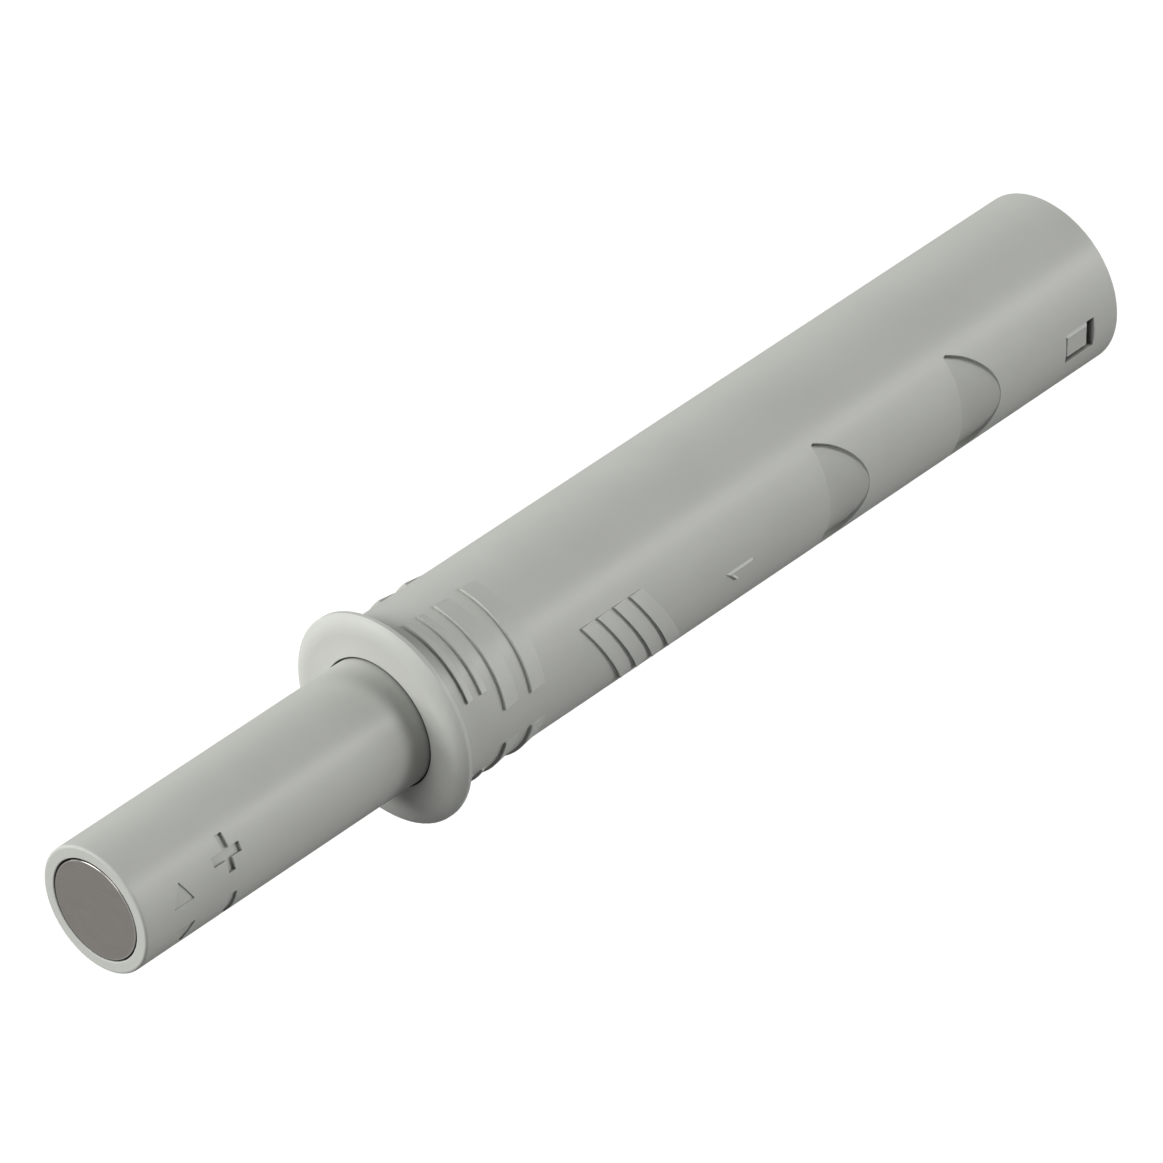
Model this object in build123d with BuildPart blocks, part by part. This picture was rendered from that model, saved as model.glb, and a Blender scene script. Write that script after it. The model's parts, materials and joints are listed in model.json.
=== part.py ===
from build123d import *
from math import atan2, cos, degrees, radians, sin, tan
import os

# Push-to-open catch for a 10 mm drilled hole, with a magnet in its adjustable tip, standing out.
# Millimetres. The origin is the centre of the flange's seating face. +Y runs into the hole, the
# plunger comes out along -Y, +Z is up. Angles round the barrel start at +X and grow towards +Z.

# ---------------------------------------------------------------- driving dimensions

# barrel
barrel_d = 9.8            # outside, for a 10 mm hole
barrel_length = 49.86     # from the seating face to the rear end
wall_t = 0.85
guide_depth = 5.3         # rear face of the front guide, behind the seating face
end_chamfer = 0.1
flange_lip = 1.0          # how far the flange stands out round the barrel
flange_t = 0.7
rim_radial = 0.95         # the flange's domed front edge, across and along the axis
rim_axial = 0.4
seat_chamfer = 0.1
relief_w = 0.2            # groove at the flange's foot, so that the flange seats flat
relief_depth = 0.08
mouth_chamfer = 0.05
keyway_w = 1.4            # keyway in the bore, which stops the slider turning
keyway_depth = 0.3

# barbs that grip the hole
barb_height = 0.145
barb_root = 0.2           # how far each barb is carried into the wall
barb_start = 12.2         # first and last angle of the front barbs on the +X half
barb_end = 90.2
short_barb_start = 29.2
back_barb_start = 139.0   # front barbs on the -X half run from here to its mirror image
front_barbs = ((3.4, 1.05), (5.28, 1.1))          # face and ramp length along the axis
short_front_barbs = ((1.25, 0.45), (2.23, 0.45))
slant_count = 4
slant_y = 10.86           # where the first slanted barb crosses +X
slant_pitch = 1.177
slant_angle = 30.1        # of a slanted barb to the barrel's rings
slant_half_span = 28.7
slant_height = 0.12
slant_ramp = 0.82         # across the barb

# crescent recesses, which take the latches of a screw-on holder
crescent_to_end = 22.48   # straight front edge of the first one, from the rear end
crescent_pitch = 10.14
crescent_length = 3.06
crescent_half_span = 45.0
crescent_fullness = 0.8   # 1 makes the outline a parabola, less makes it rounder
crescent_depth = 0.35     # at the front edge, and then halfway along the floor's curve
crescent_mid_depth = 0.27
crescent_corner = 0.15
crescent_tail = 0.06      # the floor runs out this far past the recess's end

# windows for the rear cap's tabs
window_to_end = 4.13      # window's front edge, from the rear end
window_length = 2.22
window_w = 1.8

# rear cap
cap_length = 5.06
cap_gap = 0.03            # radial, cap in bore
tab_length = 1.82
tab_w = 1.5
tab_inset = 0.1           # tab's face under the barrel's surface
tab_bevel = 0.16
tab_gap = 0.04            # tab to the front edge of its window
tab_slot_w = 1.74
cap_hollow_d = 5.4
cap_floor = 2.8           # thickness of the cap's front wall, which the guide rod is pressed into
pivot_hole_floor = 1.0    # material left under the follower's pivot hole
swing_slot_length = 2.6

# guide rod
rod_d = 2.1
rod_gap = 0.5             # rod to the bottom of the slider's bore, pushed right in
rod_chamfer = 0.4

# main spring
spring_wire_d = 0.4
spring_play = 0.1         # radial, spring in the slider's bore
spring_turns = 12

# plunger
sleeve_d = 7.1
sleeve_left = 2.22        # tip in front of the seating face, pushed right in
sleeve_edge = 0.12
sleeve_wall = 1.19        # round the spindle
sleeve_ring = 0.72        # round the magnet
guide_gap = 0.06          # radial, sleeve in front guide
adjust_in = 1.0           # the tip's adjustment each way; screwed right out, the
adjust_out = 4.0          # sleeve's rear end comes level with the seating face
thread_gap = 0.06         # radial, spindle in sleeve, over its fine thread
magnet_t = 4.1
magnet_gap = 0.05
magnet_edge = 0.14
magnet_web = 1.0

# slider
slider_gap = 0.1          # radial, slider in bore
stop_gap = 0.05           # collar to the rear face of the front guide, at rest
collar_t = 0.65
track_wall = 1.05         # from the spring bore up to the flat that carries the cam track
spring_seat_wall = 2.25   # collar's front face to the bottom of the spring bore
key_w = 1.2
key_gap = 0.1
key_start = 3.0           # from the collar's front face
cap_clearance = 0.4       # slider's rear end to the cap when pushed right in

# follower wire
wire_d = 0.6
wire_lift = 0.1           # under the wire, above the slider's flat
wire_gap = 0.208          # between the wire and the barrel's bore
wire_bend = 0.5
pin_depth = 0.35          # follower pin below the slider's flat
pivot_behind_cap_face = 2.0
lane_offset = 1.15        # each lane's centre from the middle of the flat

# cam track, depths below the flat
lane_play = 0.15          # a lane's width over the wire's, and the notch's
notch_play = 0.08
feed_depth = 0.45
crossing_depth = 0.5
notch_depth = 0.55
leaving_depth = 0.6
return_depth = 0.65
return_top = 0.4          # where the return ramp drops off into the feed lane
latch_back = 1.8          # pin's way from the end of the push back to the notch
horn_length = 0.6         # how far the island's horns stand in front of the latched pin's centre
wedge_height = 0.9        # wedge facing the notch, which sends the leaving pin to the return lane
wedge_offset = 0.15
wedge_half = 0.45
heart_length = 3.3        # latched pin's centre to where the return lane starts across
merge_length = 3.0
funnel_length = 1.2       # open rear end of the track, behind the resting pin
funnel_taper = 2.4

# ---------------------------------------------------------------- derived sizes

barrel_r = barrel_d / 2
bore_r = barrel_r - wall_t
flange_r = barrel_r + flange_lip
sleeve_r = sleeve_d / 2
guide_r = sleeve_r + guide_gap
magnet_r = sleeve_r - sleeve_ring - magnet_gap
thread_r = sleeve_r - sleeve_wall - thread_gap
wire_r = wire_d / 2
lane_w = wire_d + lane_play
notch_w = wire_d + notch_play

crescent_y = barrel_length - crescent_to_end
window_y = barrel_length - window_to_end
cap_y = barrel_length - cap_length
collar_y = guide_depth + stop_gap
wire_z = ((bore_r - wire_gap - wire_r) ** 2 - lane_offset**2) ** 0.5
flat_z = wire_z - wire_r - wire_lift
spring_bore_r = flat_z - track_wall
spring_mean_r = spring_bore_r - spring_play - spring_wire_d / 2
pin_end_y = collar_y + collar_t + 0.2 + lane_w / 2      # pin's place on the slider, pushed right in
travel = (cap_y - cap_clearance - funnel_length - pin_end_y) / 2
sleeve_reach = travel + sleeve_left                     # magnet face, in front of the seating face
pin_y = pin_end_y + travel
slider_end = pin_y + funnel_length
latched_y = pin_end_y + latch_back
spring_seat_y = collar_y + spring_seat_wall
pivot_y = cap_y + pivot_behind_cap_face
around = Axis((0, 0, 0), (0, -1, 0))                    # a positive turn takes +X towards +Z


def half_plane(angle):
    """The half plane through the barrel's axis at this angle: x is the radius, y the axis."""
    a = radians(angle)
    return Plane(origin=(0, 0, 0), x_dir=(cos(a), 0, sin(a)), z_dir=(-sin(a), 0, cos(a)))


def across(y):
    """A plane square to the axis. Its x is +X, its y is +Z, and a negative extrusion runs to +Y."""
    return Plane.XZ.offset(-y)


# ---------------------------------------------------------------- slanted barbs


def slanted_path(first_y, half_span):
    """A line on the barrel that climbs forwards as its angle grows."""
    slope = tan(radians(slant_angle))
    turns = [radians(half_span * step / 4) for step in range(-4, 5)]
    return [(barrel_r * cos(t), first_y - slope * barrel_r * t, barrel_r * sin(t)) for t in turns]


with BuildPart() as slanted_barbs:
    for index in range(slant_count):
        with BuildLine() as ridge:
            Spline(*slanted_path(slant_y + index * slant_pitch, slant_half_span + 6))
        start = ridge.line @ 0
        with BuildSketch(Plane(origin=start, x_dir=(start.X, 0, start.Z), z_dir=ridge.line % 0)):
            with BuildLine():
                Polyline(
                    (-barb_root, 0),
                    (slant_height, 0),
                    (0, slant_ramp),
                    (-barb_root, slant_ramp),
                    close=True,
                )
            make_face()
        sweep(path=ridge.line, is_frenet=True)
    with BuildSketch(Plane.XZ):
        with BuildLine():
            far = 2 * barrel_r
            Polyline(
                (0, 0),
                (far, -far * tan(radians(slant_half_span))),
                (far, far * tan(radians(slant_half_span))),
                close=True,
            )
        make_face()
    extrude(amount=-barrel_length, mode=Mode.INTERSECT)

# ---------------------------------------------------------------- crescent recess


def crescent_outline(x):
    """The recess's outline on the plane at this x, so that its walls stand square to the barrel."""
    parts = [step / 6 for step in range(6, -7, -1)]
    return [
        (
            crescent_y + crescent_length * (1 - part**2) ** crescent_fullness,
            x * tan(radians(crescent_half_span * part)),
        )
        for part in parts
    ]


with BuildPart() as crescent:
    for x in (barrel_r * 0.55, barrel_r * 1.1):
        with BuildSketch(Plane.YZ.offset(x)):
            with BuildLine() as outline:
                points = crescent_outline(x)
                Spline(*points)
                Line(points[-1], points[0])
            make_face()
            fillet(outline.vertices(), radius=crescent_corner)
    loft(ruled=True)
    with BuildSketch(Plane.XY):
        with BuildLine():
            floor_start = (barrel_r - crescent_depth, crescent_y)
            floor_end = (barrel_r, crescent_y + crescent_length + crescent_tail)
            floor_middle = (barrel_r - crescent_mid_depth, crescent_y + crescent_length / 2)
            ThreePointArc(floor_start, floor_middle, floor_end)
            Polyline(
                floor_end,
                (0, floor_end[1]),
                (0, crescent_y - 1),
                (barrel_r - crescent_depth, crescent_y - 1),
                floor_start,
            )
        make_face()
    revolve(axis=Axis.Y, mode=Mode.SUBTRACT)

# ---------------------------------------------------------------- barrel

with BuildPart() as barrel:
    with BuildSketch(Plane.XY):
        with BuildLine():
            rim = TangentArc(
                (flange_r - rim_radial, -flange_t),
                (flange_r, rim_axial - flange_t),
                tangent=(1, 0),
            )
            Polyline(
                rim @ 1,
                (flange_r, -seat_chamfer),
                (flange_r - seat_chamfer, 0),
                (barrel_r + relief_w, 0),
                (barrel_r + relief_w, -relief_depth),
                (barrel_r, -relief_depth),
                (barrel_r, barrel_length - end_chamfer),
                (barrel_r - end_chamfer, barrel_length),
                (bore_r, barrel_length),
                (bore_r, guide_depth),
                (guide_r, guide_depth),
                (guide_r, mouth_chamfer - flange_t),
                (guide_r + mouth_chamfer, -flange_t),
                rim @ 0,
            )
        make_face()
    revolve(axis=Axis.Y)

    long_spans = (
        (barb_start, barb_end),
        (-barb_end, -barb_start),
        (back_barb_start, 360 - back_barb_start),
    )
    short_spans = ((short_barb_start, barb_end), (-barb_end, -short_barb_start))
    for rows, spans in ((front_barbs, long_spans), (short_front_barbs, short_spans)):
        for face_y, ramp in rows:
            for first, last in spans:
                with BuildSketch(half_plane(first)):
                    with BuildLine():
                        Polyline(
                            (barrel_r - barb_root, face_y),
                            (barrel_r + barb_height, face_y),
                            (barrel_r, face_y + ramp),
                            (barrel_r - barb_root, face_y + ramp),
                            close=True,
                        )
                    make_face()
                revolve(axis=around, revolution_arc=last - first)
    for turn in (0, 180):
        add(slanted_barbs.part.rotate(Axis.Y, turn))

    for row in range(2):
        for turn in (0, 180):
            recess = crescent.part.moved(Location((0, row * crescent_pitch, 0)))
            add(recess.rotate(Axis.Y, turn), mode=Mode.SUBTRACT)
    with BuildSketch(Plane.YZ):
        with Locations((window_y + window_length / 2, 0)):
            Rectangle(window_length, window_w)
    extrude(amount=flange_r, both=True, mode=Mode.SUBTRACT)
    with BuildSketch(across(guide_depth)):
        with Locations((0, -bore_r)):
            Rectangle(keyway_w, 2 * keyway_depth)
    extrude(amount=guide_depth - barrel_length, mode=Mode.SUBTRACT)

barrel.part.label = "barrel"

# ---------------------------------------------------------------- rear cap

cap_r = bore_r - cap_gap
tab_face_r = barrel_r - tab_inset
tab_y = window_y + tab_gap

with BuildPart() as rear_cap:
    with BuildSketch(Plane.XY):
        with BuildLine():
            Polyline(
                (rod_d / 2, cap_y),
                (cap_r - end_chamfer, cap_y),
                (cap_r, cap_y + end_chamfer),
                (cap_r, barrel_length),
                (cap_hollow_d / 2, barrel_length),
                (cap_hollow_d / 2, cap_y + cap_floor),
                (rod_d / 2, cap_y + cap_floor),
                close=True,
            )
        make_face()
    revolve(axis=Axis.Y)
    with BuildSketch(Plane.YZ):
        slot_start = tab_y + tab_length
        with Locations(((slot_start + barrel_length) / 2 + 0.5, 0)):
            Rectangle(barrel_length - slot_start + 1, tab_slot_w)
    extrude(amount=barrel_r, both=True, mode=Mode.SUBTRACT)
    for side in (1, -1):
        with BuildSketch(Plane.YZ.offset(side * (cap_hollow_d / 2 + 0.2))):
            with Locations((tab_y + tab_length / 2, 0)):
                Rectangle(tab_length, tab_w)
        extrude(amount=side * (tab_face_r - cap_hollow_d / 2 - 0.2))
        tab_face = rear_cap.faces().sort_by(Axis.X)[-1 if side > 0 else 0]
        chamfer(tab_face.edges(), length=tab_bevel)
    with BuildSketch(across(cap_y)):
        with BuildLine():
            Polyline(
                (-lane_offset - wire_d, wire_z - wire_d),
                (lane_offset + wire_d, wire_z - wire_d),
                (lane_offset + wire_d, bore_r),
                (-lane_offset - wire_d, bore_r),
                close=True,
            )
        make_face()
    extrude(amount=-swing_slot_length, mode=Mode.SUBTRACT)
    with BuildSketch(Plane.XY.offset(wire_z)):
        with Locations((-lane_offset, pivot_y)):
            Circle(wire_r + 0.03)
    extrude(amount=-(wire_z - rod_d / 2 - pivot_hole_floor + 0.2), mode=Mode.SUBTRACT)

rear_cap.part.label = "rear_cap"

# ---------------------------------------------------------------- guide rod

with BuildPart() as guide_rod:
    with BuildSketch(across(cap_y + cap_floor)):
        Circle(rod_d / 2)
    extrude(amount=cap_floor + cap_y - spring_seat_y - travel - rod_gap)
    chamfer(guide_rod.edges().sort_by(Axis.Y)[0], length=rod_chamfer)

guide_rod.part.label = "guide_rod"

# ---------------------------------------------------------------- main spring

with BuildPart() as main_spring:
    coil_start = spring_seat_y + spring_wire_d / 2
    coil_height = cap_y - spring_seat_y - spring_wire_d
    with BuildLine() as coil:
        Helix(
            pitch=coil_height / spring_turns,
            height=coil_height,
            radius=spring_mean_r,
            center=(0, coil_start, 0),
            direction=(0, 1, 0),
        )
    with BuildSketch(Plane(origin=coil.line @ 0, z_dir=coil.line % 0)):
        RegularPolygon(spring_wire_d / 2, 6)
    sweep(path=coil.line, is_frenet=True)

main_spring.part.label = "main_spring"

# ---------------------------------------------------------------- slider with the cam track

slider_r = bore_r - slider_gap
key_top = bore_r + keyway_depth - key_gap

with BuildPart() as cam_slider:
    with BuildSketch(Plane.XY):
        with BuildLine():
            spindle_end = magnet_web + magnet_t + adjust_in + 0.2 - sleeve_reach
            Polyline(
                (0, spindle_end),
                (thread_r - 0.3, spindle_end),
                (thread_r, spindle_end + 0.3),
                (thread_r, collar_y),
                (slider_r, collar_y),
                (slider_r, slider_end),
                (spring_bore_r, slider_end),
                (spring_bore_r, spring_seat_y),
                (0, spring_seat_y),
                close=True,
            )
        make_face()
    revolve(axis=Axis.Y)
    with BuildSketch(across(collar_y + key_start)):
        with Locations((0, -(slider_r - 0.4 + key_top) / 2)):
            Rectangle(key_w, key_top - slider_r + 0.4)
    extrude(amount=collar_y + key_start - slider_end)
    with BuildSketch(across(collar_y + collar_t)):
        with Locations((0, flat_z + bore_r)):
            Rectangle(2 * bore_r, 2 * bore_r)
    extrude(amount=collar_y + collar_t - slider_end, mode=Mode.SUBTRACT)

    flat = Plane.XY.offset(flat_z)
    half_lane = lane_w / 2
    outer = lane_offset + half_lane
    inner = lane_offset - half_lane
    horn_y = latched_y - horn_length
    heart_end = latched_y + heart_length

    # feed lane, from the funnel to the end of the push
    with BuildSketch(flat):
        with Locations((-lane_offset, (pin_end_y + slider_end) / 2)):
            Rectangle(lane_w, slider_end - pin_end_y + lane_w)
        with BuildLine():
            Polyline(
                (-outer, slider_end),
                (outer, slider_end),
                (outer, pin_y - lane_w),
                (-inner, pin_y - lane_w - funnel_taper),
                (-outer, pin_y - lane_w - funnel_taper),
                close=True,
            )
        make_face()
    extrude(amount=-feed_depth, mode=Mode.SUBTRACT)
    # crossing in front of the island, round a wedge: the entering side, then the deeper leaving side
    front_y = pin_end_y - half_lane
    for side, depth in ((-1, crossing_depth), (1, leaving_depth)):
        with BuildSketch(flat):
            with BuildLine():
                Polyline(
                    (-wedge_offset, horn_y),
                    (-wedge_offset, front_y + wedge_height),
                    (side * wedge_half, front_y),
                    (side * outer, front_y),
                    (side * outer, horn_y),
                    close=True,
                )
            make_face()
        extrude(amount=-depth, mode=Mode.SUBTRACT)
    # latch notch in the heart-shaped island
    with BuildSketch(flat):
        with Locations((0, (horn_y + latched_y) / 2)):
            Rectangle(notch_w, latched_y - horn_y)
        with Locations((0, latched_y)):
            Circle(notch_w / 2)
    extrude(amount=-notch_depth, mode=Mode.SUBTRACT)
    # return lane, whose floor ramps up
    with BuildSketch(Plane.YZ.offset(lane_offset)):
        with BuildLine():
            Polyline(
                (horn_y, flat_z),
                (horn_y, flat_z - return_depth),
                (latched_y, flat_z - return_depth),
                (heart_end, flat_z - return_top),
                (heart_end, flat_z),
                close=True,
            )
        make_face()
    extrude(amount=half_lane, both=True, mode=Mode.SUBTRACT)
    # and the last stretch, back across to the feed lane
    slant_y_span = merge_length + half_lane
    with BuildSketch(flat):
        with Locations((0, heart_end + (merge_length - half_lane) / 2)):
            SlotCenterToCenter(
                (slant_y_span**2 + (2 * lane_offset) ** 2) ** 0.5,
                lane_w,
                rotation=90 + degrees(atan2(2 * lane_offset, slant_y_span)),
            )
    extrude(amount=-return_top, mode=Mode.SUBTRACT)

cam_slider.part.label = "cam_slider"

# ---------------------------------------------------------------- follower wire

with BuildPart() as follower_wire:
    with BuildLine() as wire_path:
        FilletPolyline(
            (-lane_offset, pin_y, flat_z - pin_depth),
            (-lane_offset, pin_y, wire_z),
            (-lane_offset, pivot_y, wire_z),
            (-lane_offset, pivot_y, rod_d / 2 + pivot_hole_floor),
            radius=wire_bend,
        )
    with BuildSketch(Plane(origin=wire_path.line @ 0, z_dir=wire_path.line % 0)):
        Circle(wire_r)
    sweep(path=wire_path.line)

follower_wire.part.label = "follower_wire"

# ---------------------------------------------------------------- tip sleeve and magnet

pocket_y = magnet_t + magnet_gap - sleeve_reach
web_y = pocket_y + magnet_web

with BuildPart() as tip_sleeve:
    with BuildSketch(Plane.XY):
        with BuildLine():
            Polyline(
                (sleeve_r - sleeve_edge, -sleeve_reach),
                (sleeve_r, sleeve_edge - sleeve_reach),
                (sleeve_r, adjust_out),
                (thread_r + thread_gap, adjust_out),
                (thread_r + thread_gap, web_y),
                (0, web_y),
                (0, pocket_y),
                (magnet_r + magnet_gap, pocket_y),
                (magnet_r + magnet_gap, -sleeve_reach),
                close=True,
            )
        make_face()
    revolve(axis=Axis.Y)

tip_sleeve.part.label = "tip_sleeve"

with BuildPart() as magnet:
    with BuildSketch(across(magnet_t - sleeve_reach)):
        Circle(magnet_r)
    extrude(amount=magnet_t)
    chamfer(magnet.edges().sort_by(Axis.Y)[0], length=magnet_edge)

magnet.part.label = "magnet"

# ---------------------------------------------------------------- files

os.makedirs("parts", exist_ok=True)
export_step(barrel.part, "parts/barrel.step")
export_step(rear_cap.part, "parts/rear_cap.step")
export_step(guide_rod.part, "parts/guide_rod.step")
export_step(main_spring.part, "parts/main_spring.step")
export_step(cam_slider.part, "parts/cam_slider.step")
export_step(follower_wire.part, "parts/follower_wire.step")
export_step(tip_sleeve.part, "parts/tip_sleeve.step")
export_step(magnet.part, "parts/magnet.step")
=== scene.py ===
# %% [markdown]
# # A push-to-open catch in light grey plastic
# The catch is pushed into a hole in the front edge of a cabinet side. A flange stops it at the
# mouth, barbs grip the wood, and a sprung plunger with a magnet in its tip stands out and holds
# the door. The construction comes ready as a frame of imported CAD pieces. This lesson gives those
# pieces their finish, cuts the small moulded signs, makes the spring and the magnet in full
# detail, and sets up the lights and the camera.

import json
from math import cos, hypot, pi, radians, sin, tan

import bmesh
import bpy
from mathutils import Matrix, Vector


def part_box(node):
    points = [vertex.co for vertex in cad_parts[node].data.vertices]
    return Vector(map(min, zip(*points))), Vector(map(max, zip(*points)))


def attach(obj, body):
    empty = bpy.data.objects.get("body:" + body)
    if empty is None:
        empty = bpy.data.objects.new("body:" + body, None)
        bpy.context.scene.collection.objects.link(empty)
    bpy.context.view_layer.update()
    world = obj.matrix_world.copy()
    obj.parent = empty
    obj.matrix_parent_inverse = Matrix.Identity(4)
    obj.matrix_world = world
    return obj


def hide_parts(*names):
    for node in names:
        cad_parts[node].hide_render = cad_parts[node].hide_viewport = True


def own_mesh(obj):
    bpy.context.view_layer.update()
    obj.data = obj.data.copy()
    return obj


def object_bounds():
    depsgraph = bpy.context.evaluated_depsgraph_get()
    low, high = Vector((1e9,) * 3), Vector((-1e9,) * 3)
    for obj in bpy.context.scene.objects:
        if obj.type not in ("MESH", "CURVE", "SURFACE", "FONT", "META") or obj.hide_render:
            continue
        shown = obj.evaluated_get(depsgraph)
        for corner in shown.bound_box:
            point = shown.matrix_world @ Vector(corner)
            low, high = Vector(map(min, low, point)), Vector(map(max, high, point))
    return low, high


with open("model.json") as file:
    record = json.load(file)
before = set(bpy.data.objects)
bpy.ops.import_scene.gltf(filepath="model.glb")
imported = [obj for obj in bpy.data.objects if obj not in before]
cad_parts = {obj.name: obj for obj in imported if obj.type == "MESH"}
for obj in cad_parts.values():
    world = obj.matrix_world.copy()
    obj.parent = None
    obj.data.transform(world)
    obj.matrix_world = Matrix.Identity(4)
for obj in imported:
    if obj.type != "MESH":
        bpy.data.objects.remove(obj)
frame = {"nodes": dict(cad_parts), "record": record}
cad_box = [list(corner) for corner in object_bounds()]
print("CAD box in mm:", [[round(value * 1000, 2) for value in corner] for corner in cad_box])

# %% [markdown]
# The frame is in metres and the catch is only 70 mm long, so sizes are written as a number times
# MM. The axis of the barrel is the Y axis: the plunger stands out towards -Y and +Z is up. Sizes
# are read from the frame wherever it has them, so they stay right when the construction changes.
# An angle round the axis starts at +X and grows towards +Z.

# %% Sizes read from the frame
MM = 0.001
MICRON = 0.001 * MM
sleeve_low, sleeve_high = [Vector(corner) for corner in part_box("tip_sleeve")]
magnet_low, magnet_high = [Vector(corner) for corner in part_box("magnet")]
spring_low, spring_high = [Vector(corner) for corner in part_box("main_spring")]
record = frame["record"]
mounts = {mount["name"]: mount for mount in record["mounts"]}
SLEEVE_R = sleeve_high.z
MAGNET_R = magnet_high.z
BARREL_R = mounts["hole_fit"]["dims"]["r_mm"] * MM
TIP_Y = sleeve_low.y
print(f"plunger radius {SLEEVE_R / MM:.3f} mm, barrel radius {BARREL_R / MM:.3f} mm")

# %% [markdown]
# ## Camera
# A long lens from far away keeps the barrel's edges almost parallel, as in a catalogue picture.
# The camera looks down on the catch from the front right: the azimuth turns it round the Z axis
# and the elevation lifts it. It aims close to the middle of the catch. The lens and the sensor are
# in millimetres, as on a real camera, and everything else is in metres.

# %% Camera
CAMERA_AZIMUTH = radians(43.03)
CAMERA_ELEVATION = radians(38.34)
CAMERA_DISTANCE = 546.6 * MM
CAMERA_LENS = 335.3
SENSOR_WIDTH = 36
NEAREST, FARTHEST = 0.01, 10
AIM_OFFSET = Vector((-0.29, -0.22, 0)) * MM


def direction(azimuth, elevation):
    """The unit vector from the catch towards a viewer. Azimuth 0 looks along +Y."""
    return Vector((sin(azimuth) * cos(elevation), -cos(azimuth) * cos(elevation), sin(elevation)))


def make_camera(aim):
    data = bpy.data.cameras.new("camera")
    data.lens = CAMERA_LENS
    data.sensor_width = SENSOR_WIDTH
    data.clip_start = NEAREST
    data.clip_end = FARTHEST
    camera = bpy.data.objects.new("camera", data)
    back = direction(CAMERA_AZIMUTH, CAMERA_ELEVATION)
    camera.location = aim + back * CAMERA_DISTANCE
    camera.rotation_euler = back.to_track_quat("Z", "Y").to_euler()
    bpy.context.scene.collection.objects.link(camera)
    bpy.context.scene.camera = camera
    print(f"camera {CAMERA_DISTANCE / MM:.0f} mm away, lens {CAMERA_LENS} mm")


middle = (Vector(cad_box[0]) + Vector(cad_box[1])) / 2
make_camera(middle + AIM_OFFSET)

# %% [markdown]
# ## Node helpers
# A material is a small network of nodes. Two helpers keep the network readable: `put` places one
# node and fills or links its inputs by name, and `new_group` starts a shader node group, which is
# a piece of network with named inputs and outputs that several materials share.

# %% Node helpers


def put(tree, kind, settings=None, **inputs):
    """Places a node. Inputs are given by name, with _ for a space, or as in_0, in_1 by number."""
    node = tree.nodes.new("ShaderNode" + kind)
    for name, value in (settings or {}).items():
        setattr(node, name, value)
    for name, value in inputs.items():
        numbered = name.startswith("in_")
        socket = node.inputs[int(name[3:]) if numbered else name.replace("_", " ")]
        if isinstance(value, bpy.types.NodeSocket):
            tree.links.new(value, socket)
        else:
            socket.default_value = value
    return node


def maths(tree, operation, *values, clamp=False):
    """Places a Math node and gives its output."""
    inputs = {f"in_{place}": value for place, value in enumerate(values)}
    return put(tree, "Math", {"operation": operation, "use_clamp": clamp}, **inputs).outputs[0]


def blend_colours(tree, share, first, second):
    """Goes from the first colour to the second as share goes from 0 to 1."""
    node = put(tree, "Mix", {"data_type": "RGBA"}, in_0=share, in_6=first, in_7=second)
    return node.outputs[2]


def new_group(name, inputs, outputs):
    """Starts a node group with number inputs, given with their usual values, and typed outputs."""
    tree = bpy.data.node_groups.new(name, "ShaderNodeTree")
    for label, value in inputs.items():
        socket = tree.interface.new_socket(label, in_out="INPUT", socket_type="NodeSocketFloat")
        socket.default_value = value
    for label, kind in outputs.items():
        tree.interface.new_socket(label, in_out="OUTPUT", socket_type="NodeSocket" + kind)
    return tree, tree.nodes.new("NodeGroupInput").outputs, tree.nodes.new("NodeGroupOutput").inputs


def place_group(tree, group, **inputs):
    """Places a node group in a material and gives its outputs, by name."""
    return put(tree, "Group", {"node_tree": group}, **inputs).outputs


def new_material(name, colour, **shader):
    """A material with one Principled shader, and even numbers straight on its sockets."""
    material = bpy.data.materials.new(name)
    material.use_nodes = True
    tree = material.node_tree
    principled = tree.nodes["Principled BSDF"]
    principled.inputs["Base Color"].default_value = (*colour, 1)
    for label, value in shader.items():
        principled.inputs[label.replace("_", " ")].default_value = value
    return material, tree, principled.inputs


# %% [markdown]
# ## Moulded grain
# The steel mould is spark-eroded, so the plastic comes out with a fine matt grain of about a
# tenth of a millimetre. Where the melt cooled at different speeds, broad faint clouds stay in the
# colour. Two noise textures at those two real sizes make this, in object coordinates, so nothing
# stretches. The sizes are inputs, because the plunger is smoother than the barrel.

# %% Group: moulded grain


def moulded_grain_group():
    inputs = {"Grain mm": 0.11, "Cloud mm": 5.0}
    outputs = {"Grain": "Float", "Cloud": "Float"}
    tree, given, result = new_group("moulded grain", inputs, outputs)
    place = put(tree, "TexCoord").outputs["Object"]
    for wanted, size, detail in (("Grain", "Grain mm", 2.0), ("Cloud", "Cloud mm", 3.0)):
        scale = maths(tree, "DIVIDE", 1 / MM, given[size])
        noise = put(tree, "TexNoise", Vector=place, Scale=scale, Detail=detail, Roughness=0.55)
        tree.links.new(noise.outputs["Fac"], result[wanted])
    return tree


moulded_grain = moulded_grain_group()
print("group:", moulded_grain.name, [item.name for item in moulded_grain.interface.items_tree])

# %% [markdown]
# ## Soft edges
# No moulded edge is perfectly sharp: the mould's cutter leaves a tiny radius, and handling
# polishes it. Bevelling every edge of the CAD mesh would change it, so a Bevel node rounds only
# the normal there. Where the rounded normal leaves the true one, there is an edge, and that
# difference is the mask that makes edges a little paler and shinier. The paler colour is partly
# wear and partly a painted highlight along the edges.

# %% Group: soft edges
RAYS = 8
EDGE_CONTRAST = 6.0


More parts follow.
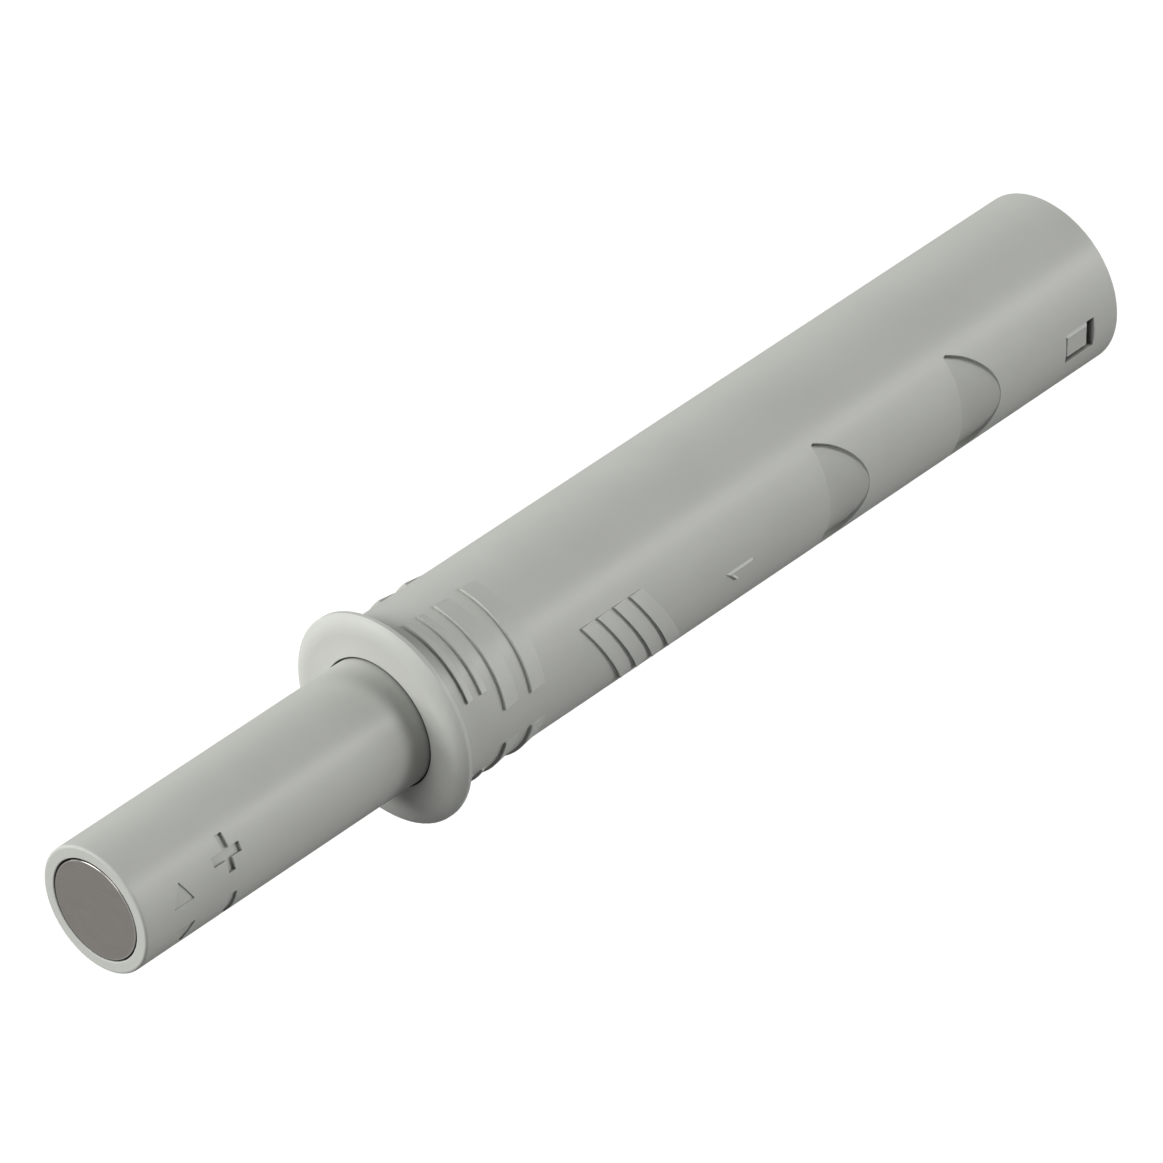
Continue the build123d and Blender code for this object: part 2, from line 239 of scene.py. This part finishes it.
def soft_edges_group():
    outputs = {"Normal": "Vector", "Edge": "Float"}
    tree, given, result = new_group("soft edges", {"Radius mm": 0.06}, outputs)
    radius = maths(tree, "MULTIPLY", given["Radius mm"], MM)
    rounded = put(tree, "Bevel", {"samples": RAYS}, Radius=radius).outputs["Normal"]
    true = put(tree, "NewGeometry").outputs["Normal"]
    comparison = put(tree, "VectorMath", {"operation": "DOT_PRODUCT"}, in_0=rounded, in_1=true)
    difference = maths(tree, "SUBTRACT", 1.0, comparison.outputs["Value"])
    edge = maths(tree, "MULTIPLY", difference, EDGE_CONTRAST, clamp=True)
    tree.links.new(rounded, result["Normal"])
    tree.links.new(edge, result["Edge"])
    return tree


soft_edges = soft_edges_group()
print("group:", soft_edges.name)

# %% [markdown]
# ## Painted shade in tight corners
# Hardly any light finds its way into a slot that is a few tenths of a millimetre wide. This group
# paints that shade into the colour, so the slots and the pressed signs are painted as dark lines.
# An Ambient Occlusion node with a short reach measures how shut in a point is. The foot of a
# single step is half shut in, so the painted shade starts just under that half and is full at
# the bottom of a slot.

# %% Group: painted shade in tight corners
DEPTH_CONTRAST = 2.2
DEPTH_OFFSET = -0.95


def painted_corner_shade_group():
    tree, given, result = new_group("painted corner shade", {"Reach mm": 0.8}, {"Depth": "Float"})
    reach = maths(tree, "MULTIPLY", given["Reach mm"], MM)
    open_share = put(tree, "AmbientOcclusion", {"samples": RAYS}, Distance=reach).outputs["AO"]
    shut_share = maths(tree, "SUBTRACT", 1.0, open_share)
    depth = maths(tree, "MULTIPLY_ADD", shut_share, DEPTH_CONTRAST, DEPTH_OFFSET, clamp=True)
    tree.links.new(depth, result["Depth"])
    return tree


painted_corner_shade = painted_corner_shade_group()
print("group:", painted_corner_shade.name)

# %% [markdown]
# ## Drawn and ground lines
# Steel wire is pulled through a die and a rod is ground between wheels, and both leave fine
# lines. A noise that is squeezed in one direction and stretched in another gives such lines. The
# group takes how many waves there are per millimetre along X, Y and Z, so each piece turns its
# lines its own way.

# %% Group: tool lines


def tool_lines_group():
    inputs = {"Along X": 1.0, "Along Y": 1.0, "Along Z": 1.0}
    tree, given, result = new_group("tool lines", inputs, {"Lines": "Float"})
    place = put(tree, "TexCoord").outputs["Object"]
    waves = put(tree, "CombineXYZ", X=given["Along X"], Y=given["Along Y"], Z=given["Along Z"])
    multiply = {"operation": "MULTIPLY"}
    stretched = put(tree, "VectorMath", multiply, in_0=place, in_1=waves.outputs[0]).outputs[0]
    noise = put(tree, "TexNoise", Vector=stretched, Scale=1 / MM, Detail=3.0, Roughness=0.6)
    tree.links.new(noise.outputs["Fac"], result["Lines"])
    return tree


tool_lines = tool_lines_group()
print("group:", tool_lines.name)

# %% [markdown]
# ## The plastics
# Barrel and plunger are the same light grey plastic with a trace of green. The grain is a bump of
# a few thousandths of a millimetre, and the clouds move the colour by a few percent. Edges are
# paler, partly as wear and partly as a painted highlight, and smoother. Slots are painted nearly
# black as shade. Fine grain keeps a surface matt at a slant, so the roughness grows towards the
# silhouette. The slider inside is a white slippery plastic, which lets a little light into its
# skin.

# %% Colour and roughness of a plastic
# The third tone is the pale edge colour, partly wear and partly a painted highlight, and the last
# is the painted shade deep in slots.
CLOUD_DARK, CLOUD_PALE, WORN_AND_HIGHLIT, SHADED = 0.94, 1.05, 1.16, 0.1
CLOUD_ROUGHNESS = 0.05
EDGE_POLISH = 0.1
SLANT_POWER = 2.0
SLANT_ROUGHNESS = 0.6
SLOT_REACH_MM = 0.8


def tone(colour, share):
    """The colour made darker or paler, with full alpha."""
    return (*[min(1.0, share * part) for part in colour], 1)


def plastic_colour(tree, colour, cloud, edge_wear_and_highlight):
    """Clouded, paler on edges as wear and as a painted highlight, and painted nearly black as
    shade deep in slots.
    """
    clouded = blend_colours(tree, cloud, tone(colour, CLOUD_DARK), tone(colour, CLOUD_PALE))
    # Edges go paler, partly as wear and partly as a painted highlight.
    worn_and_highlit = blend_colours(tree, edge_wear_and_highlight, clouded, tone(colour, WORN_AND_HIGHLIT))
    # Painted shade: slots and pressed signs go nearly black where they are shut in.
    depth = place_group(tree, painted_corner_shade, Reach_mm=SLOT_REACH_MM)["Depth"]
    return blend_colours(tree, depth, worn_and_highlit, tone(colour, SHADED))


def plastic_roughness(tree, rough, cloud, edge_wear_and_highlight):
    """Uneven like the clouds, smoother on edges, where handling polishes them, and rougher at a
    slant.
    """
    low, high = rough - CLOUD_ROUGHNESS, rough + CLOUD_ROUGHNESS
    uneven = put(tree, "MapRange", Value=cloud, To_Min=low, To_Max=high).outputs[0]
    polished = maths(tree, "MULTIPLY_ADD", edge_wear_and_highlight, -EDGE_POLISH, uneven)
    facing = put(tree, "LayerWeight", Blend=0.5).outputs["Facing"]
    slanting = maths(tree, "POWER", facing, SLANT_POWER)
    return maths(tree, "MULTIPLY_ADD", slanting, SLANT_ROUGHNESS, polished, clamp=True)


# %% Plastic materials


def add_bump(tree, sockets, height, relief, normal):
    """height is in thousandths of a millimetre."""
    distance = height * MICRON
    bump = put(tree, "Bump", Strength=1.0, Distance=distance, Height=relief, Normal=normal)
    tree.links.new(bump.outputs["Normal"], sockets["Normal"])


def plastic(name, colour, grain, height, rough, edge, radius, **shader):
    """grain and radius are in mm, rough is the middle roughness, edge is how much paler and
    smoother edges are, partly wear and partly a painted highlight.
    """
    material, tree, sockets = new_material(name, colour, **shader)
    moulded = place_group(tree, moulded_grain, Grain_mm=grain)
    edges = place_group(tree, soft_edges, Radius_mm=radius)
    # The edge mask paints edges paler, as wear and as a painted highlight, and makes them
    # smoother.
    edge_wear_and_highlight = maths(tree, "MULTIPLY", edges["Edge"], edge)
    shown = plastic_colour(tree, colour, moulded["Cloud"], edge_wear_and_highlight)
    tree.links.new(shown, sockets["Base Color"])
    gloss = plastic_roughness(tree, rough, moulded["Cloud"], edge_wear_and_highlight)
    tree.links.new(gloss, sockets["Roughness"])
    add_bump(tree, sockets, height, moulded["Grain"], edges["Normal"])
    return material


GREY = (0.50, 0.51, 0.475)
barrel_plastic = plastic(
    "barrel_plastic", GREY, grain=0.12, height=3.0, rough=0.4, edge=0.35, radius=0.03,
    Specular_IOR_Level=0.3,
)
plunger_plastic = plastic(
    "plunger_plastic", GREY, grain=0.09, height=2.0, rough=0.4, edge=0.1, radius=0.04,
    Specular_IOR_Level=0.3,
)
slider_plastic = plastic(
    "slider_plastic", (0.72, 0.72, 0.69), grain=0.1, height=1.5, rough=0.36, edge=0.4, radius=0.04,
    Subsurface_Weight=0.15, Subsurface_Radius=(1.0, 0.9, 0.8), Subsurface_Scale=0.4 * MM,
)
print("plastics:", barrel_plastic.name, plunger_plastic.name, slider_plastic.name)

# %% [markdown]
# ## The metals
# The spring and the follower are drawn spring wire, and the guide rod is ground bright. The
# magnet is ground on its face, tumbled and then plated, so its face is a soft brownish grey with
# faint straight lines, while its rounded edge is smooth enough to catch a bright line of light.

# %% Metal materials
LINE_DARK, LINE_PALE = 0.8, 1.12
LINE_ROUGHNESS = 0.08
METAL_EDGE_MM = 0.03


def steel(name, colour, lines, rough, height):
    """lines says how many waves a millimetre has along X, Y and Z."""
    material, tree, sockets = new_material(name, colour, Metallic=1.0)
    waves = {"Along_X": lines[0], "Along_Y": lines[1], "Along_Z": lines[2]}
    drawn = place_group(tree, tool_lines, **waves)["Lines"]
    lined = blend_colours(tree, drawn, tone(colour, LINE_DARK), tone(colour, LINE_PALE))
    tree.links.new(lined, sockets["Base Color"])
    low, high = rough - LINE_ROUGHNESS, rough + LINE_ROUGHNESS
    uneven = put(tree, "MapRange", Value=drawn, To_Min=low, To_Max=high).outputs[0]
    tree.links.new(uneven, sockets["Roughness"])
    edges = place_group(tree, soft_edges, Radius_mm=METAL_EDGE_MM)
    add_bump(tree, sockets, height, drawn, edges["Normal"])
    return material


spring_steel = steel(
    "spring_steel", (0.56, 0.57, 0.58), lines=(18, 2.5, 18), rough=0.3, height=1.0
)
rod_steel = steel("rod_steel", (0.62, 0.62, 0.63), lines=(3, 30, 3), rough=0.24, height=0.6)
magnet_face = steel(
    "magnet_face", (0.17, 0.159, 0.144), lines=(1.2, 12, 14), rough=0.42, height=0.6
)
magnet_rim = steel("magnet_rim", (0.22, 0.21, 0.2), lines=(4, 4, 4), rough=0.15, height=0.2)
metals = (spring_steel, rod_steel, magnet_face, magnet_rim)
print("metals:", ", ".join(metal.name for metal in metals))

# %% [markdown]
# The barrel, the cap, the slider, the follower and the rod are right as the construction made
# them, so they stay. Only the material in their slots is changed.

# %% Materials of the pieces that stay
FINISHES = {
    "barrel": barrel_plastic,
    "rear_cap": barrel_plastic,
    "cam_slider": slider_plastic,
    "follower_wire": spring_steel,
    "guide_rod": rod_steel,
}
for node, material in FINISHES.items():
    for place in frame["nodes"][node].material_slots:
        place.material = material
print("finished CAD pieces:", ", ".join(FINISHES))

# %% [markdown]
# ## Turned shapes
# The plunger's tip and the magnet are round, so each is a profile turned about the Y axis, as on
# a lathe. The profile is a closed list of (y, radius) points. `fillet` rounds chosen corners of
# it first, because a real edge shows as a soft line of light and not as a crease.

# %% Lathe helpers
AROUND = 144
ON_AXIS = 1e-9


def fillet(before, corner, after, radius, steps=5):
    """The points of an arc that rounds one corner of a profile."""
    corner = Vector(corner)
    back = (Vector(before) - corner).normalized()
    ahead = (Vector(after) - corner).normalized()
    half = back.angle(ahead) / 2
    centre = corner + (back + ahead).normalized() * radius / sin(half)
    start = (corner + back * radius / tan(half) - centre).normalized()
    end = (corner + ahead * radius / tan(half) - centre).normalized()
    return [centre + radius * start.slerp(end, step / steps) for step in range(steps + 1)]


def rounded_profile(points, radii):
    """points is a closed profile and radii gives {index: radius} for the corners to round."""
    result = []
    for index, point in enumerate(points):
        if index in radii:
            after = points[(index + 1) % len(points)]
            result += fillet(points[index - 1], point, after, radii[index])
        else:
            result.append(Vector(point))
    return result


def ring_of(mesh, point):
    """The points that one profile point makes on its way round, or a single one on the axis."""
    y, radius = point
    if radius < ON_AXIS:
        return [mesh.verts.new((0, y, 0))] * AROUND
    turns = [2 * pi * step / AROUND for step in range(AROUND)]
    return [mesh.verts.new((radius * cos(turn), y, radius * sin(turn))) for turn in turns]


def turned(name, profile):
    """The solid that a closed profile makes when it is turned once round the Y axis."""
    mesh = bmesh.new()
    rings = [ring_of(mesh, point) for point in profile]
    for ring, following in zip(rings, rings[1:] + rings[:1]):
        for step in range(AROUND):
            ahead = (step + 1) % AROUND
            corners = [ring[step], ring[ahead], following[ahead], following[step]]
            corners = list(dict.fromkeys(corners))
            if len(corners) > 2:
                mesh.faces.new(corners)
    return to_object(name, mesh)


# %% [markdown]
# Every new piece ends the same way. Its faces are turned outwards and it becomes an object. Then
# it gets its material and the body of the construction that it moves with.

# %% Finishing a piece


def to_object(name, mesh):
    """Turns all faces outwards, which the volume's sign tells, and makes the object."""
    bmesh.ops.recalc_face_normals(mesh, faces=mesh.faces)
    if mesh.calc_volume(signed=True) < 0:
        bmesh.ops.reverse_faces(mesh, faces=mesh.faces)
    data = bpy.data.meshes.new(name)
    mesh.to_mesh(data)
    mesh.free()
    result = bpy.data.objects.new(name, data)
    bpy.context.scene.collection.objects.link(result)
    return result


def finish_piece(piece, material, body):
    """Gives a new piece its material and its body."""
    piece.data.materials.clear()
    piece.data.materials.append(material)
    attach(piece, body)
    print(f"{piece.name}: {len(piece.data.polygons)} faces, rides on {body}")


# %% [markdown]
# Shading needs a normal at each corner of each face. Blender averages the faces that meet there,
# which bends the light on a flat end beside a rounded edge, and on a wall with signs cut into it.
# This object is simple enough to say the true normals: flat ends look straight along the axis,
# the outer wall looks straight outwards, and only the rest is averaged.

# %% True normals
SHARP_ANGLE = radians(32)
ACROSS_AXIS = 0.9999
SQUARE_ON = 0.99
WALL_TOLERANCE = 1e-6


def true_normals(piece, wall_radius):
    """Shades flat ends as flat and the wall at wall_radius as a true cylinder."""
    data = piece.data
    for face in data.polygons:
        face.use_smooth = True
    data.set_sharp_from_angle(angle=SHARP_ANGLE)
    averaged = [Vector(corner.vector) for corner in data.corner_normals]
    exact = list(averaged)
    for face in data.polygons:
        outward = Vector((face.center.x, 0, face.center.z)).normalized()
        flat = abs(face.normal.y) > ACROSS_AXIS
        on_wall = face.normal.dot(outward) > SQUARE_ON
        for loop in face.loop_indices:
            point = data.vertices[data.loops[loop].vertex_index].co
            if flat:
                exact[loop] = face.normal.copy()
            elif on_wall and abs(hypot(point.x, point.z) - wall_radius) < WALL_TOLERANCE:
                exact[loop] = Vector((point.x, 0, point.z)).normalized()
    data.normals_split_custom_set(exact)


# %% [markdown]
# ## The magnet
# A small round magnet sits flush in the plunger's tip. It is turned from a profile with rounded
# edges, because a magnet is tumbled before plating, and the front edge is what shines. The faces
# of the rounded edge and the side take the brighter material.

# %% Magnet
MAGNET_EDGE = 0.09 * MM


def make_magnet():
    front, back = magnet_low.y, magnet_high.y
    profile = [(front, 0), (front, MAGNET_R), (back, MAGNET_R), (back, 0)]
    return turned("magnet_disc", rounded_profile(profile, {1: MAGNET_EDGE, 2: MAGNET_EDGE}))


magnet_disc = make_magnet()
true_normals(magnet_disc, MAGNET_R)
finish_piece(magnet_disc, magnet_face, "magnet")
magnet_disc.data.materials.append(magnet_rim)
for face in magnet_disc.data.polygons:
    face.material_index = int(abs(face.normal.y) < SQUARE_ON)
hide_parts("magnet")

# %% [markdown]
# ## Signs on a round wall
# The tip turns in and out on a thread, and small signs say which way: a plus and a minus, each
# with a triangle that points the way round. The mould presses them into the wall. Each sign is
# drawn flat, as an outline of (way round, y) points, raised into a thin block, sliced every few
# degrees and wrapped round the cylinder. Without the slices its floor would be a flat chord
# through the wall.

# %% Wrapped blocks
SLICE = radians(2.5)
SLICE_TOLERANCE = 1e-8
LID_TOLERANCE = 1e-7


def chamfer_lid(mesh, level, chamfer):
    """Slopes the sides of a flat block at its top, which lies at height level."""
    lowest = level - LID_TOLERANCE
    lid = [edge for edge in mesh.edges if all(vert.co.z > lowest for vert in edge.verts)]
    bmesh.ops.bevel(mesh, geom=lid, offset=chamfer, segments=1, profile=0.5, affect="EDGES")


def slice_block(mesh, first, last, slices):
    """Cuts a flat block across X, so that it can bend."""
    for step in range(1, slices):
        where = first + (last - first) * step / slices
        bmesh.ops.bisect_plane(
            mesh, geom=[*mesh.verts, *mesh.edges, *mesh.faces], dist=SLICE_TOLERANCE,
            plane_co=(where, 0, 0), plane_no=(1, 0, 0),
        )


def wrapped_block(name, outline, radius, inner, outer, chamfer=0):
    """outline is in (degrees, mm) and the block reaches from radius inner to radius outer."""
    mesh = bmesh.new()
    bottom = inner - radius
    flat = [mesh.verts.new((radians(turn) * radius, y * MM, bottom)) for turn, y in outline]
    base = mesh.faces.new(flat)
    raised = bmesh.ops.extrude_face_region(mesh, geom=[base])["geom"]
    raised = [item for item in raised if isinstance(item, bmesh.types.BMVert)]
    bmesh.ops.translate(mesh, verts=raised, vec=(0, 0, outer - inner))
    first, last = min(vert.co.x for vert in flat), max(vert.co.x for vert in flat)
    if chamfer:
        chamfer_lid(mesh, outer - radius, chamfer)
    slice_block(mesh, first, last, int((last - first) / (SLICE * radius)) + 1)
    for vert in mesh.verts:
        turn, reach = vert.co.x / radius, radius + vert.co.z
        vert.co = (reach * cos(turn), vert.co.y, reach * sin(turn))
    return to_object(name, mesh)


# %% [markdown]
# The plus is pressed deepest, the minus less, and the triangles least. The lower triangle mirrors
# the upper one, so that both ways of turning have their sign. Every outline is in degrees round
# the axis and millimetres along it.

# %% Outlines of the signs
SIGN_DEPTH = 0.18 * MM
MINUS_DEPTH = 0.11 * MM
ARROW_DEPTH = 0.07 * MM
PLUS = [
    (12.3, -14.70), (23.7, -14.70), (23.7, -15.48), (32.3, -15.48),
    (32.3, -14.70), (45.9, -14.70), (45.9, -14.25), (32.3, -14.25),
    (32.3, -13.59), (23.7, -13.59), (23.7, -14.25), (12.3, -14.25),
]
MINUS = [(-9.0, -14.85), (-9.0, -14.25), (-42.6, -14.25), (-42.6, -14.85)]
ARROW_UP = [(11.5, -18.49), (31.0, -17.79), (11.5, -17.12)]
ARROW_DOWN = [(-turn, y) for turn, y in ARROW_UP]
SIGNS = {
    "plus": (PLUS, SIGN_DEPTH),
    "minus": (MINUS, MINUS_DEPTH),
    "arrow_up": (ARROW_UP, ARROW_DEPTH),
    "arrow_down": (ARROW_DOWN, ARROW_DEPTH),
}
print("signs:", ", ".join(SIGNS))

# %% [markdown]
# ## The plunger's tip
# The tip is a sleeve: a pocket for the magnet in front, a thin web, and a long bore behind for
# the spindle. It is turned from its profile, whose outer edges and the pocket's mouth are rounded,
# and then a Boolean cuts the signs. The cut is applied at once, so that the true normals can be
# set on the final mesh.

# %% Plunger sleeve
POCKET_GAP = 0.05 * MM
SIDE_GAP = 0.08 * MM
WEB = 1.0 * MM
WALL = 1.19 * MM
OUTER_EDGE = 0.15 * MM
MOUTH_EDGE = 0.06 * MM
CUTTER_STANDS_OUT = 0.3 * MM


def sleeve_profile():
    """The sleeve's cut half: outer wall, bore, web and the magnet's pocket, as (y, radius)."""
    pocket_r = MAGNET_R + SIDE_GAP
    pocket_end = magnet_high.y + POCKET_GAP
    bore_r = SLEEVE_R - WALL
    points = [
        (TIP_Y, SLEEVE_R), (sleeve_high.y, SLEEVE_R), (sleeve_high.y, bore_r),
        (pocket_end + WEB, bore_r), (pocket_end + WEB, 0),
        (pocket_end, 0), (pocket_end, pocket_r), (TIP_Y, pocket_r),
    ]
    return rounded_profile(points, {0: OUTER_EDGE, 1: OUTER_EDGE, 7: MOUTH_EDGE})


def cut(piece, cutter):
    """Takes the cutter out of the piece and removes the cutter."""
    modifier = piece.modifiers.new("cut", "BOOLEAN")
    modifier.operation = "DIFFERENCE"
    modifier.solver = "EXACT"
    modifier.object = cutter
    evaluated = piece.evaluated_get(bpy.context.evaluated_depsgraph_get())
    result = bpy.data.meshes.new_from_object(evaluated)
    piece.modifiers.remove(modifier)
    piece.data = result
    bpy.data.objects.remove(cutter)


sleeve_body = turned("sleeve_body", sleeve_profile())
cutter_top = SLEEVE_R + CUTTER_STANDS_OUT
for name, (outline, depth) in SIGNS.items():
    cut(sleeve_body, wrapped_block(name, outline, SLEEVE_R, SLEEVE_R - depth, cutter_top))
true_normals(sleeve_body, SLEEVE_R)
finish_piece(sleeve_body, plunger_plastic, "tip_sleeve")
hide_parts("tip_sleeve")

# %% [markdown]
# ## The figure on the barrel
# A small raised figure, the number of the mould's cavity, stands on the barrel behind the barbs.
# It is a wrapped block too, sunk a little into the wall, so that it needs no cutting. Its sides
# slope, as the sides of an engraved mould do, and the slope that faces up catches the light.

# %% Raised figure
FIGURE_HEIGHT = 0.1 * MM
FIGURE_SUNK = 0.1 * MM
FIGURE_SLOPE = 0.09 * MM
ONE = [
    (3.0, 19.56), (3.0, 21.56), (-0.6, 21.56), (-0.6, 20.15), (-5.6, 20.56), (-5.6, 20.29),
]

figure_top = BARREL_R + FIGURE_HEIGHT
figure_foot = BARREL_R - FIGURE_SUNK
raised_one = wrapped_block("raised_one", ONE, BARREL_R, figure_foot, figure_top, FIGURE_SLOPE)
true_normals(raised_one, figure_top)
finish_piece(raised_one, barrel_plastic, "barrel")

# %% [markdown]
# ## The main spring
# The CAD spring is a plain six-sided coil. The real one is round wire with its first and last
# turns closed up, so that each end presses on a full ring. The path is a helix whose rise is
# eased at both ends, and a circle of points is carried along it, square to the wire.

# %% Path of the wire
WIRE_R = 0.2 * MM
TURNS = 13
CLOSED = 1.0
STEPS_A_TURN = 40


def rise(turn):
    """How far along the spring the wire has come after a number of turns, from 0 to 1."""
    closed_rise = 2 * WIRE_R / (spring_high.y - spring_low.y - 2 * WIRE_R)
    if turn <= CLOSED:
        return closed_rise * turn
    if turn >= TURNS - CLOSED:
        return 1 - closed_rise * (TURNS - turn)
    open_share = (turn - CLOSED) / (TURNS - 2 * CLOSED)
    return closed_rise * CLOSED + (1 - 2 * closed_rise * CLOSED) * open_share


def spring_path():
    """Points along the middle of the wire."""
    mean_r = spring_high.x - WIRE_R
    start, length = spring_low.y + WIRE_R, spring_high.y - spring_low.y - 2 * WIRE_R
    points = []
    for step in range(TURNS * STEPS_A_TURN + 1):
        turn = step / STEPS_A_TURN
        angle, along = 2 * pi * turn, start + length * rise(turn)
        points.append(Vector((mean_r * cos(angle), along, mean_r * sin(angle))))
    return points


# %% Main spring
WIRE_SIDES = 12


def tube(name, path, radius, sides):
    """Round wire along a path about the Y axis, with flat ends."""
    mesh = bmesh.new()
    rings = []
    for index, point in enumerate(path):
        along = (path[min(index + 1, len(path) - 1)] - path[max(index - 1, 0)]).normalized()
        outward = Vector((point.x, 0, point.z)).normalized()
        across = along.cross(outward).normalized()
        outward = across.cross(along)
        angles = [2 * pi * side / sides for side in range(sides)]
        spokes = [outward * cos(angle) + across * sin(angle) for angle in angles]
        rings.append([mesh.verts.new(point + spoke * radius) for spoke in spokes])
    for ring, following in zip(rings, rings[1:]):
        for side in range(sides):
            ahead = (side + 1) % sides
            mesh.faces.new((ring[side], ring[ahead], following[ahead], following[side]))
    mesh.faces.new(rings[0])
    mesh.faces.new(rings[-1])
    for face in mesh.faces:
        face.smooth = len(face.verts) == 4
    return to_object(name, mesh)


coil_spring = tube("coil_spring", spring_path(), WIRE_R, WIRE_SIDES)
finish_piece(coil_spring, spring_steel, "barrel")
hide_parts("main_spring")
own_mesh(coil_spring)

# %% [markdown]
# ## Floor and background
# A catalogue picture has a plain white ground. Light Path tells what kind of ray arrives: for the
# camera, for reflections and for glass the ground is white, and for the light that falls on the
# catch it is a dim grey, so that the ground doesn't wash out the underside. The white is the
# floor's own shading topped up with a glow, so the catch's soft shadow stays in it. Far from the
# catch the lamps give the floor less, so the glow grows with the distance from it.

# %% What a ray looks for


def seen_directly(tree):
    """1 for rays that show the background, and 0 for rays that only carry light."""
    path = put(tree, "LightPath").outputs
    glossy = maths(tree, "MAXIMUM", path["Is Camera Ray"], path["Is Glossy Ray"])
    return maths(tree, "MAXIMUM", glossy, path["Is Transmission Ray"])


# %% Floor
FLOOR_DROP = 60 * MM
FLOOR_GREY = 0.05
FLOOR_HALF = 4.0
PAPER = 0.6
GLOW_NEAR, GLOW_FAR = 0.56, 1.0
GLOW_START, GLOW_END = 0.15, 0.6


def glow_level(tree):
    """The floor's glow, which grows with the distance from the catch."""
    place = put(tree, "NewGeometry").outputs["Position"]
    distance = put(tree, "VectorMath", {"operation": "LENGTH"}, in_0=place).outputs["Value"]
    level = put(
        tree, "MapRange", Value=distance,
        From_Min=GLOW_START, From_Max=GLOW_END, To_Min=GLOW_NEAR, To_Max=GLOW_FAR,
    )
    return level.outputs[0]


def make_floor_material():
    material = bpy.data.materials.new("floor")
    material.use_nodes = True
    tree = material.node_tree
    tree.nodes.clear()
    grey = put(tree, "BsdfDiffuse", Color=(FLOOR_GREY, FLOOR_GREY, FLOOR_GREY, 1)).outputs[0]
    paper = put(tree, "BsdfDiffuse", Color=(PAPER, PAPER, PAPER, 1)).outputs[0]
    glow = put(tree, "Emission", Strength=glow_level(tree)).outputs[0]
    white = put(tree, "AddShader", in_0=paper, in_1=glow).outputs[0]
    shown = put(tree, "MixShader", in_0=seen_directly(tree), in_1=grey, in_2=white).outputs[0]
    put(tree, "OutputMaterial", Surface=shown)
    return material


def make_floor():
    mesh = bpy.data.meshes.new("floor")
    signs = ((-1, -1), (1, -1), (1, 1), (-1, 1))
    corners = [(x * FLOOR_HALF, y * FLOOR_HALF, 0) for x, y in signs]
    mesh.from_pydata(corners, [], [(0, 1, 2, 3)])
    mesh.materials.append(make_floor_material())
    floor = bpy.data.objects.new("floor", mesh)
    floor.location.z = cad_box[0][2] - FLOOR_DROP
    bpy.context.scene.collection.objects.link(floor)


make_floor()
print(f"floor {FLOOR_DROP / MM:.0f} mm under the catch")

# %% World
WORLD_LIGHT = 0.05


def make_world():
    world = bpy.data.worlds.new("studio")
    world.use_nodes = True
    tree = world.node_tree
    seen = seen_directly(tree)
    strength = put(tree, "MapRange", Value=seen, To_Min=WORLD_LIGHT, To_Max=1.0)
    background = tree.nodes["Background"]
    background.inputs["Color"].default_value = (1, 1, 1, 1)
    tree.links.new(strength.outputs[0], background.inputs["Strength"])
    bpy.context.scene.world = world


make_world()
print(f"world light {WORLD_LIGHT}")

# %% [markdown]
# ## Lamps
# Round soft lamps stand one and a half metres away, which is far enough to light both ends of the
# catch alike. The key lamp is at the front left. A smaller one behind on the right draws the long
# soft highlight along the barrel, and low ones behind and at the sides draw the pale rim along
# its silhouette. Hardly anything comes from below, so the underside and the steps that face down
# stay dark, and the barbs and recesses read clearly. Each lamp has the direction it stands in,
# its diameter in metres and its power in watts.

# %% Lamps
LAMP_DISTANCE = 1.5
LAMPS = {
    "key_front_left": ((-0.6, -0.7, 0.35), 0.9, 17.91),
    "front_low": ((0, -0.996, 0.087), 0.9, 1.28),
    "rear_low": ((0.498, 0.863, 0.087), 0.9, 8.11),
    "front": ((0, -0.866, 0.5), 0.9, 8.97),
    "left": ((-0.996, 0, 0.087), 0.9, 9.38),
    "rear_right": ((0.62, 0.573, 0.535), 0.42, 9.33),
    "right_low": ((0.863, 0.498, 0.087), 0.9, 2.27),
}


def make_lamp(name, towards, size, watts):
    """A round lamp that shines from the given direction at the middle of the catch."""
    data = bpy.data.lights.new(name, "AREA")
    data.shape = "DISK"
    data.size = size
    data.energy = watts
    lamp = bpy.data.objects.new(name, data)
    away = Vector(towards).normalized()
    lamp.location = middle + away * LAMP_DISTANCE
    lamp.rotation_euler = away.to_track_quat("Z", "Y").to_euler()
    bpy.context.scene.collection.objects.link(lamp)


for name, (towards, size, watts) in LAMPS.items():
    make_lamp(name, towards, size, watts)
print("lamps:", ", ".join(LAMPS))

bpy.context.scene.view_settings.view_transform = "Standard"
